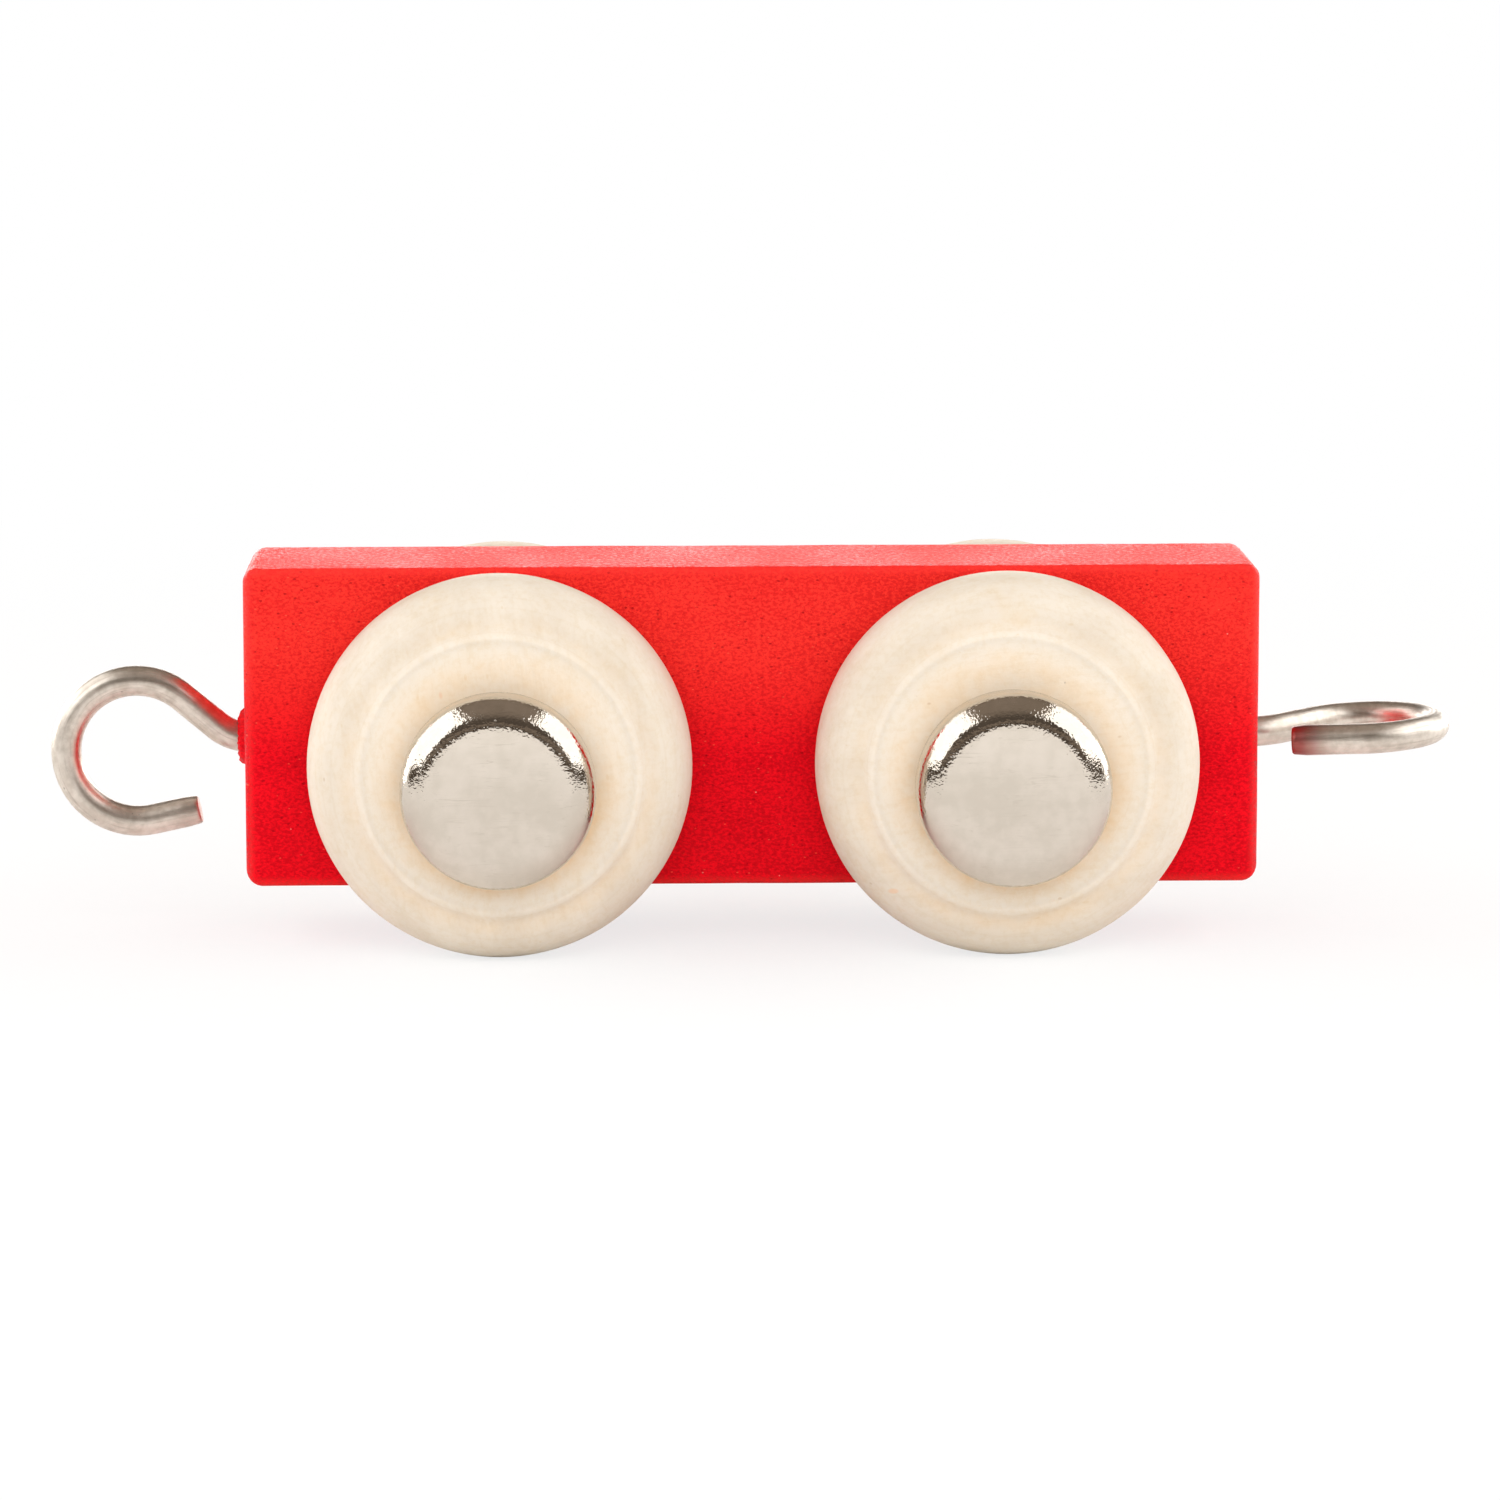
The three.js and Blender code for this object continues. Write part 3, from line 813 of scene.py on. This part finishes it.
# %% Template of the wheel
front, rear, left, right = "front", "rear", "left", "right"
wheel_low, wheel_high, wheel_middle = box_and_middle("wheel_front_left")
wheel_radius = (wheel_high.x - wheel_low.x) / 2 / MM
wheel_bore, back_corner = 2.9, 1.2
ring_outside, ring_foot, ring_crest, dish_edge = 10.1, 9.35, 8.85, 7.5
face, ring_top, dish_height = 5.7, 6.3, 6.05
wheel_template = without_doubles(
    # the back, from the bore outwards, and its rounded corner
    [(wheel_bore, 0.15), (3.05, 0.0)] + [(r, 0.0) for r in (4.5, 6.5, 8.5, 10.0)]
    + along_arc((wheel_radius - back_corner, back_corner), back_corner, -90, 0, 8)
    # the tread, and the soft shoulder to the face
    + [(wheel_radius, 1.8)]
    + along_bend([(wheel_radius, 2.4), (wheel_radius, 4.38), (11.2, face),
                  (ring_outside, face)], 16)
    # up the ring, over it and down into the dish
    + along_bend([(ring_outside, face), (9.6, face), (ring_foot, dish_height)], 6)
    + along_bend([(ring_foot, dish_height), (9.1, ring_top), (ring_crest, ring_top)], 5)
    + along_bend([(ring_crest, ring_top), (8.3, dish_height), (dish_edge, dish_height)], 6)
    # the dish, and back through the bore
    + [(r, dish_height) for r in (6.6, 5.4, 4.2, 3.05)]
    + [(wheel_bore, 5.9), (wheel_bore, 3.0), (wheel_bore, 0.15)])
print("wheel template:", len(wheel_template), "points, radius", round(wheel_radius, 2), "mm")


# %% Turn one wheel
def copy_piece(piece, shift=(0, 0, 0), half_turn=False):
    """A copy with its own mesh, moved along, or swung half a turn about the upright axis."""
    work_on(piece)
    bpy.ops.object.duplicate()
    twin = bpy.context.object
    open_edit(twin)
    bpy.ops.transform.translate(value=shift)
    if half_turn:
        bpy.ops.transform.rotate(value=math.pi, orient_axis="Z", center_override=(0, 0, 0))
    close_edit()
    return twin


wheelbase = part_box("wheel_rear_left")[0].x - wheel_low.x


def set_of_four(first):
    """From the front left one: a copy for the other axle, and both again on the far side."""
    pieces = {(front, left): first, (rear, left): copy_piece(first, (wheelbase, 0, 0))}
    pieces[front, right] = copy_piece(pieces[rear, left], half_turn=True)
    pieces[rear, right] = copy_piece(pieces[front, left], half_turn=True)
    return pieces


def outwards_from(axle, back, template):
    """Template points (radius, height) as places, for a piece on the left side."""
    return [Vector((axle.x + r * MM, back - out * MM, axle.z)) for r, out in template]


wheel = draw_section("wheel", outwards_from(wheel_middle, wheel_high.y, wheel_template))
spin_section(wheel, wheel_middle, axis=(0, 1, 0), steps=128)
wheels = set_of_four(wheel)
print("wheels:", len(wheels), "wheelbase", round(wheelbase / MM, 2), "mm")

# %% Give each wheel its own grain and finish it
grain_turn = {(front, left): 8.0, (rear, left): 97.0, (front, right): 203.0, (rear, right): 51.0}
further_along = Vector((40, 17, 23)) * MM
for number, (where, piece) in enumerate(wheels.items()):
    node = "wheel_%s_%s" % where
    middle = box_and_middle(node)[2]
    turned = Matrix.Rotation(math.radians(grain_turn[where]), 3, "Y")
    make_uneven(piece, amount=0.05 * MM, spread=6.0 * MM)
    shade(piece)
    note_places(piece, "about_hub", lambda co: co - middle)
    note_places(piece, "along_board",
                lambda co: turned @ (co - middle) + further_along * (number + 1))
    finish_piece(piece, "turned_" + node, "%s_%s_wheel" % where, node, pale_wood)

# %% [markdown]
# ## The hub caps
# A cap is a shallow cup pressed from thin sheet: a nearly flat face, a round shoulder, a
# short straight skirt and a lip curled inwards. The section is drawn round the outside
# and back along the inside, so the sheet has its thickness from the start and the rim
# needs no Solidify. The face is a very shallow dome, which keeps its reflection calm.

# %% Template of the cap
cap_low, cap_high, cap_middle = box_and_middle("hub_cap_front_left")
cap_radius = (cap_high.x - cap_low.x) / 2 / MM
cap_depth = (cap_high.y - cap_low.y) / MM
sheet, shoulder, dome_rise = 0.4, 1.95, 0.10
lip, lip_corner, shoulder_end = 5.15, 0.22, 87.4
edge_radius, edge_height = cap_radius - shoulder, cap_depth - shoulder - dome_rise


def dome(radius, lowered):
    """Height of the face, which is a little lower at its edge than in its middle."""
    return cap_depth - lowered - dome_rise * (radius / edge_radius) ** 2


cap_template = without_doubles(
    # the curled lip, the skirt and the shoulder
    [(lip, 0.0), (6.05, 0.0)]
    + along_arc((cap_radius - lip_corner, lip_corner), lip_corner, -90, 0, 4)
    + [(cap_radius, 0.9)]
    + along_arc((edge_radius, edge_height), shoulder, 0, shoulder_end, 18)
    # the face, inwards along the outside and outwards along the inside
    + [(r, dome(r, 0)) for r in (4.0, 3.5, 2.9, 2.3, 1.7, 1.1, 0.55, 0.0)]
    + [(r, dome(r, sheet)) for r in (0.0, 1.2, 2.5, 3.6)]
    # the shoulder, the skirt and the lip from the inside
    + along_arc((edge_radius, edge_height), shoulder - sheet, shoulder_end, 0, 8)
    + [(cap_radius - sheet, sheet), (lip, sheet), (lip, 0.0)])
print("cap template:", len(cap_template), "points, radius", round(cap_radius, 2), "mm")

# %% Press one cap, copy it, finish all four
cap = draw_section("cap", outwards_from(cap_middle, cap_high.y, cap_template))
spin_section(cap, cap_middle, axis=(0, 1, 0), steps=112)
for where, piece in set_of_four(cap).items():
    node = "hub_cap_%s_%s" % where
    middle = box_and_middle(node)[2]
    make_uneven(piece, amount=0.012 * MM, spread=3.0 * MM)
    shade(piece)
    note_places(piece, "about_hub", lambda co: co - middle)
    finish_piece(piece, "pressed_" + node, "axle_set_" + where[0], node, nickel)

# %% [markdown]
# ## The axles
# An axle is a length of drawn rod with both ends chamfered so that the caps slide on. A
# cylinder is a fair start here, because a rod is one. It still gets its chamfers, and
# rings of points so that the rod can be slightly uneven like a real one.

# %% Two axles
chamfer, rod_cuts = 0.3 * MM, 24
for end in (front, rear):
    node = "axle_" + end
    low, high, middle = box_and_middle(node)
    rod = add_rod((high.x - low.x) / 2, high.y - low.y, middle, lying_along_y)
    for side in (-1, 1):
        pick_points(rod, lambda co: (co.y - middle.y) * side > 0)
        bpy.ops.mesh.bevel(offset=chamfer, segments=2, affect="EDGES", clamp_overlap=True)
        close_edit()
    for i in range(1, rod_cuts):
        open_edit(rod)
        bpy.ops.mesh.bisect(plane_co=low.lerp(high, i / rod_cuts), plane_no=(0, 1, 0))
    close_edit()
    make_uneven(rod, amount=0.008 * MM, spread=4.0 * MM)
    shade(rod)
    finish_piece(rod, "drawn_" + node, "axle_set_" + end, node, axle_steel)

# %% [markdown]
# ## The hook and the eye
# Both are the same screw hook, bent from 2 mm wire: out of the block, a bend to one
# side, a short run, and then a wide loop back that stops short of closing. A curve with
# a round bevel could follow that path. Here a circle is extruded along each run and
# spun round each bend, as a bending tool does, and the path is written down on the way,
# so that the streaks of the wire can follow it.

# %% A wire that remembers its path
class Wire:
    def __init__(self, name, start, heading, swing, radius, sides=28):
        pick_nothing()
        bpy.ops.mesh.primitive_circle_add(
            vertices=sides, radius=radius, location=start,
            rotation=heading.to_track_quat("Z", "Y").to_euler())
        self.piece = bpy.context.object
        self.piece.name = name
        settle(self.piece)
        bpy.ops.object.mode_set(mode="EDIT")
        bpy.ops.mesh.select_all(action="SELECT")
        self.here, self.heading, self.swing = start.copy(), heading.copy(), swing.copy()
        self.length, self.path = 0.0, []
        self.write_down()

    def write_down(self):
        self.path.append((self.here.copy(), self.heading.copy(), self.swing, self.length))

    def run(self, distance, steps=4, narrower=1.0):
        """Straight on, in steps. narrower scales the end ring at each step."""
        for _ in range(steps):
            step = self.heading * distance / steps
            pull_out(step)
            self.here += step
            self.length += abs(distance) / steps
            if narrower != 1.0:
                bpy.ops.transform.resize(value=(narrower,) * 3, center_override=self.here)
            self.write_down()

    def bend(self, degrees, radius, steps):
        """Round a bend. The spin operator counts its angle the other way."""
        way = math.copysign(1.0, degrees)
        centre = self.here + self.swing.cross(self.heading) * radius * way
        bpy.ops.mesh.spin(steps=steps, angle=-math.radians(degrees), center=centre, axis=self.swing)
        step = Matrix.Rotation(math.radians(degrees / steps), 3, self.swing)
        for _ in range(steps):
            self.here = centre + step @ (self.here - centre)
            self.heading = step @ self.heading
            self.length += abs(math.radians(degrees / steps)) * radius
            self.write_down()

    def close_end(self):
        bpy.ops.mesh.edge_face_add()
        close_edit()

    def place_along(self, co):
        """Across, across, and along the wire, for any point near it."""
        nearest = min(self.path, key=lambda stop: (co - stop[0]).length_squared)
        here, heading, swing, length = nearest
        off = co - here
        return Vector((off.dot(swing), off.dot(swing.cross(heading)), length + off.dot(heading)))


print("wire tool ready")

# %% [markdown]
# ## Bend one coupling
# The loop is modelled from the block outwards, and the threaded shank from the block
# inwards, out of the same end ring. The thread is one raised ridge on a round core: the
# ring is pulled out to one side and then turned a little at every short step, which
# winds the ridge into a right-handed screw. The cut tip narrows slightly, because the
# cutter squeezes it.

# %% Cut the threaded shank
wire_radius = 1.0 * MM
thread_core, thread_crest, ridge_side, thread_pitch = 0.78, 0.96, 0.80, 1.2 * MM
plain_shank, core_step, threaded_length, point_length = 2.5 * MM, 0.2 * MM, 7.15 * MM, 1.6 * MM


def thread_shank(wire, start, inwards, steps_a_turn=14):
    """Extrudes the open end ring at the block into a threaded shank with a point."""
    piece = wire.piece
    pick_points(piece, lambda co: abs((co - start).dot(inwards)) < 0.08 * MM
                and (co - start).length < 1.1 * wire_radius)
    here = start.copy()
    for length in (plain_shank, core_step):
        pull_out(inwards * length)
        here += inwards * length
    bpy.ops.transform.resize(value=(1, thread_core, thread_core), center_override=here)
    close_edit()
    for point in piece.data.vertices:
        off = point.co - here
        if point.select and off.normalized().z > ridge_side:
            point.co = here + off * (thread_crest / thread_core)
    bpy.ops.object.mode_set(mode="EDIT")
    steps = int(threaded_length / thread_pitch * steps_a_turn)
    step = inwards * thread_pitch / steps_a_turn
    for _ in range(steps):
        pull_out(step)
        here += step
        bpy.ops.transform.rotate(value=-math.tau / steps_a_turn * inwards.x, orient_axis="X",
                                 center_override=here)
    for narrower in (0.55, 0.22):
        pull_out(inwards * point_length / 2)
        here += inwards * point_length / 2
        bpy.ops.transform.resize(value=(1, narrower, narrower), center_override=here)
    bpy.ops.mesh.edge_face_add()
    close_edit()
    return here


print("thread of", round(threaded_length / thread_pitch, 1), "turns")

# %% Bend a coupling
tight_bend, loop_radius, straight_run = 3.2 * MM, 4.7 * MM, 3.03 * MM
out_and_aside, round_the_loop = 40, -232
squeezed, cut_edge = 0.8 * MM, 0.1 * MM


def bend_coupling(name, side, lean, swing, tip_run):
    """side is the end of the block, lean tilts the loop, swing is the bending axis."""
    start = Vector((side * block_size.x / 2, 0, coupling_height))
    out = Vector((side, 0, 0))
    tilt = Matrix.Rotation(math.radians(-lean * side), 3, "Y")
    wire = Wire(name, start, tilt @ out, tilt @ swing, wire_radius)
    wire.bend(out_and_aside, tight_bend, steps=10)
    wire.run(straight_run)
    wire.bend(round_the_loop, loop_radius, steps=44)
    wire.run(tip_run - squeezed - cut_edge)
    wire.run(squeezed, narrower=0.982)
    wire.run(cut_edge, steps=1, narrower=0.92)
    wire.close_end()
    end = thread_shank(wire, start, -out)
    open_edit(wire.piece)
    bpy.ops.mesh.normals_make_consistent(inside=False)
    close_edit()
    wire.path.insert(0, (end, tilt @ out, tilt @ swing, -(end - start).length))
    print(name, "bent from", round(wire.length / MM, 1), "mm of wire")
    return wire


print("couplings can be bent")

# %% The hook stands upright, the eye lies level
red_reflection_length = 4.4 * MM
for node, side, lean, swing, tip_run in (
        ("coupling_hook", -1, 0.0, Vector((0, 1, 0)), 3.2 * MM),
        ("coupling_eye", 1, 3.0, Vector((0, 0, 1)), 4.2 * MM)):
    wire = bend_coupling(node, side, lean, swing, tip_run)
    make_uneven(wire.piece, amount=0.02 * MM, spread=2.5 * MM)
    shade(wire.piece, angle=45.0)
    note_places(wire.piece, "down_wire", wire.place_along)
    if side > 0:
        # The eye's points note how near they lie to its tip, where the painted red reflection goes.
        tip = wire.path[-1][0]
        note_places(wire.piece, "red_tip_reflection",
                    lambda co: Vector((max(0.0, 1 - (co - tip).length / red_reflection_length), 0, 0)))
    finish_piece(wire.piece, "bent_" + node, "chassis", node, wire_steel)

# %% [markdown]
# ## Floor, room and light
# A small glossy object is lit as much by what it mirrors as by the lamps. The wagon
# stands on a wide white table between two large soft boxes, one at each side and a
# little above. The room in front is dim and the wall behind is bright: the caps need
# the dim part for their dark crescents, and the top of the block mirrors the wall. A
# long shelf on the dim side draws the thin brown arc in each crescent.

# %% White table
pick_nothing()
bpy.ops.mesh.primitive_grid_add(x_subdivisions=8, y_subdivisions=8, size=12.0, location=(0, 0, 0))
table = bpy.context.object
table.name = "white_table"
table_white, tree = new_finish("white table")
place = own_place(tree)
paper = tint(tree, cloud(tree, place, 900.0, detail=2.0), (0.90, 0.90, 0.90), (0.94, 0.94, 0.94))
matt = put(tree, "BsdfDiffuse", {"Color": paper})
glow = put(tree, "Emission", {"Color": (1, 1, 1, 1), "Strength": 1.0})
away = vector_sum(tree, "LENGTH", place)["Value"]
seen = put(tree, "LightPath").outputs["Is Camera Ray"]
share = times(tree, fade(tree, away, 0.04, 0.24, 0.76, 1.0), seen)
put(tree, "OutputMaterial", {"Surface": put(tree, "MixShader", {
    0: share, 1: matt.outputs[0], 2: glow.outputs[0]}).outputs[0]})
table.data.materials.append(table_white)
print("table", round(table.dimensions.x, 1), "m wide")

# %% Room: dim in front, bright behind
room = bpy.data.worlds.new("studio room")
room.use_nodes = True
tree = room.node_tree
tree.nodes.clear()
wall_light = 5.3
_, backwards, upwards = parts(tree, put(tree, "TexCoord").outputs["Generated"])
wall = times(tree, fade(tree, backwards, -0.05, 0.55), fade(tree, upwards, 0.34, 0.08))
ceiling = fade(tree, upwards, 0.45, 0.95, 0.11, 0.30)
shelf = times(tree, fade(tree, upwards, 0.14, 0.19), fade(tree, upwards, 0.33, 0.27, 0.0, 0.16))
light = sum_up(tree, "ADD", sum_up(tree, "ADD", ceiling, shelf), times(tree, wall, wall_light))
seen = put(tree, "LightPath").outputs["Is Camera Ray"]
strength = put(tree, "Mix", {0: seen, 2: light, 3: 1.0}, data_type="FLOAT").outputs[0]
warmth = tint(tree, fade(tree, strength, 0.25, 0.90), (1.0, 0.80, 0.64), (1.0, 0.985, 0.965))
warmth = tint(tree, seen, warmth, (1.0, 1.0, 1.0))
background = put(tree, "Background", {"Color": warmth, "Strength": strength})
put(tree, "OutputWorld", {"Surface": background.outputs[0]})
bpy.context.scene.world = room
print("room ready")

# %% Two soft boxes and a fill
def way_to(azimuth, elevation):
    """The direction of a place round the wagon: 0 is in front of its left side, 90 is +X."""
    turn, rise = math.radians(azimuth), math.radians(elevation)
    return Vector((math.sin(turn) * math.cos(rise), -math.cos(turn) * math.cos(rise),
                   math.sin(rise)))


def hang_soft_box(name, azimuth, elevation, distance, width, height, power):
    way = way_to(azimuth, elevation)
    lamp = bpy.data.lights.new(name, "AREA")
    lamp.shape = "RECTANGLE"
    lamp.size, lamp.size_y, lamp.energy = width, height, power
    soft_box = bpy.data.objects.new(name, lamp)
    bpy.context.scene.collection.objects.link(soft_box)
    soft_box.location = way * distance
    soft_box.rotation_euler = way.to_track_quat("Z", "Y").to_euler()
    soft_box.visible_camera = False
    print(name, "at", distance, "m,", power, "W")
    return soft_box


for name, azimuth in (("soft_box_left", -86), ("soft_box_right", 86)):
    hang_soft_box(name, azimuth, elevation=36, distance=0.62, width=1.12, height=0.54, power=3.6)
fill = hang_soft_box("fill_card", azimuth=0, elevation=30, distance=0.60,
                     width=0.60, height=0.40, power=1.72)
fill.visible_glossy = False

# %% [markdown]
# ## Camera
# The picture is taken from a little left of square and nine degrees above, with a long
# lens that keeps both wheels nearly round. The camera is aimed by three directions:
# right, up and back, which are the columns of its matrix.

# %% Aim the camera
azimuth, elevation, roll = -1.344, 9.026, math.radians(-0.085)
reach = 400 * MM
aim = Vector((-0.04, 0.0, 12.083)) * MM
back = way_to(azimuth, elevation)
level = Vector((math.cos(math.radians(azimuth)), math.sin(math.radians(azimuth)), 0.0))
upward = back.cross(level)
right_way = level * math.cos(roll) + upward * math.sin(roll)
up_way = upward * math.cos(roll) - level * math.sin(roll)
eye = bpy.data.cameras.new("camera")
eye.sensor_width, eye.lens = 36.0, 144.5
eye.clip_start, eye.clip_end = 0.01, 50.0
camera = bpy.data.objects.new("camera", eye)
bpy.context.scene.collection.objects.link(camera)
stand = aim + back * reach
rows = list(zip(right_way, up_way, back, stand))
camera.matrix_world = Matrix(rows + [(0, 0, 0, 1)])
bpy.context.scene.camera = camera
bpy.context.scene.view_settings.view_transform = "Standard"
print("camera", round(reach, 2), "m away, lens", eye.lens, "mm")

# %% [markdown]
# ## Size and finish
# The finished wagon must be as large as its frame. The last line brings the scene up to
# date, with every piece tied to the body that it rides on.

# %% Bring the scene up to date
bpy.context.view_layer.update()
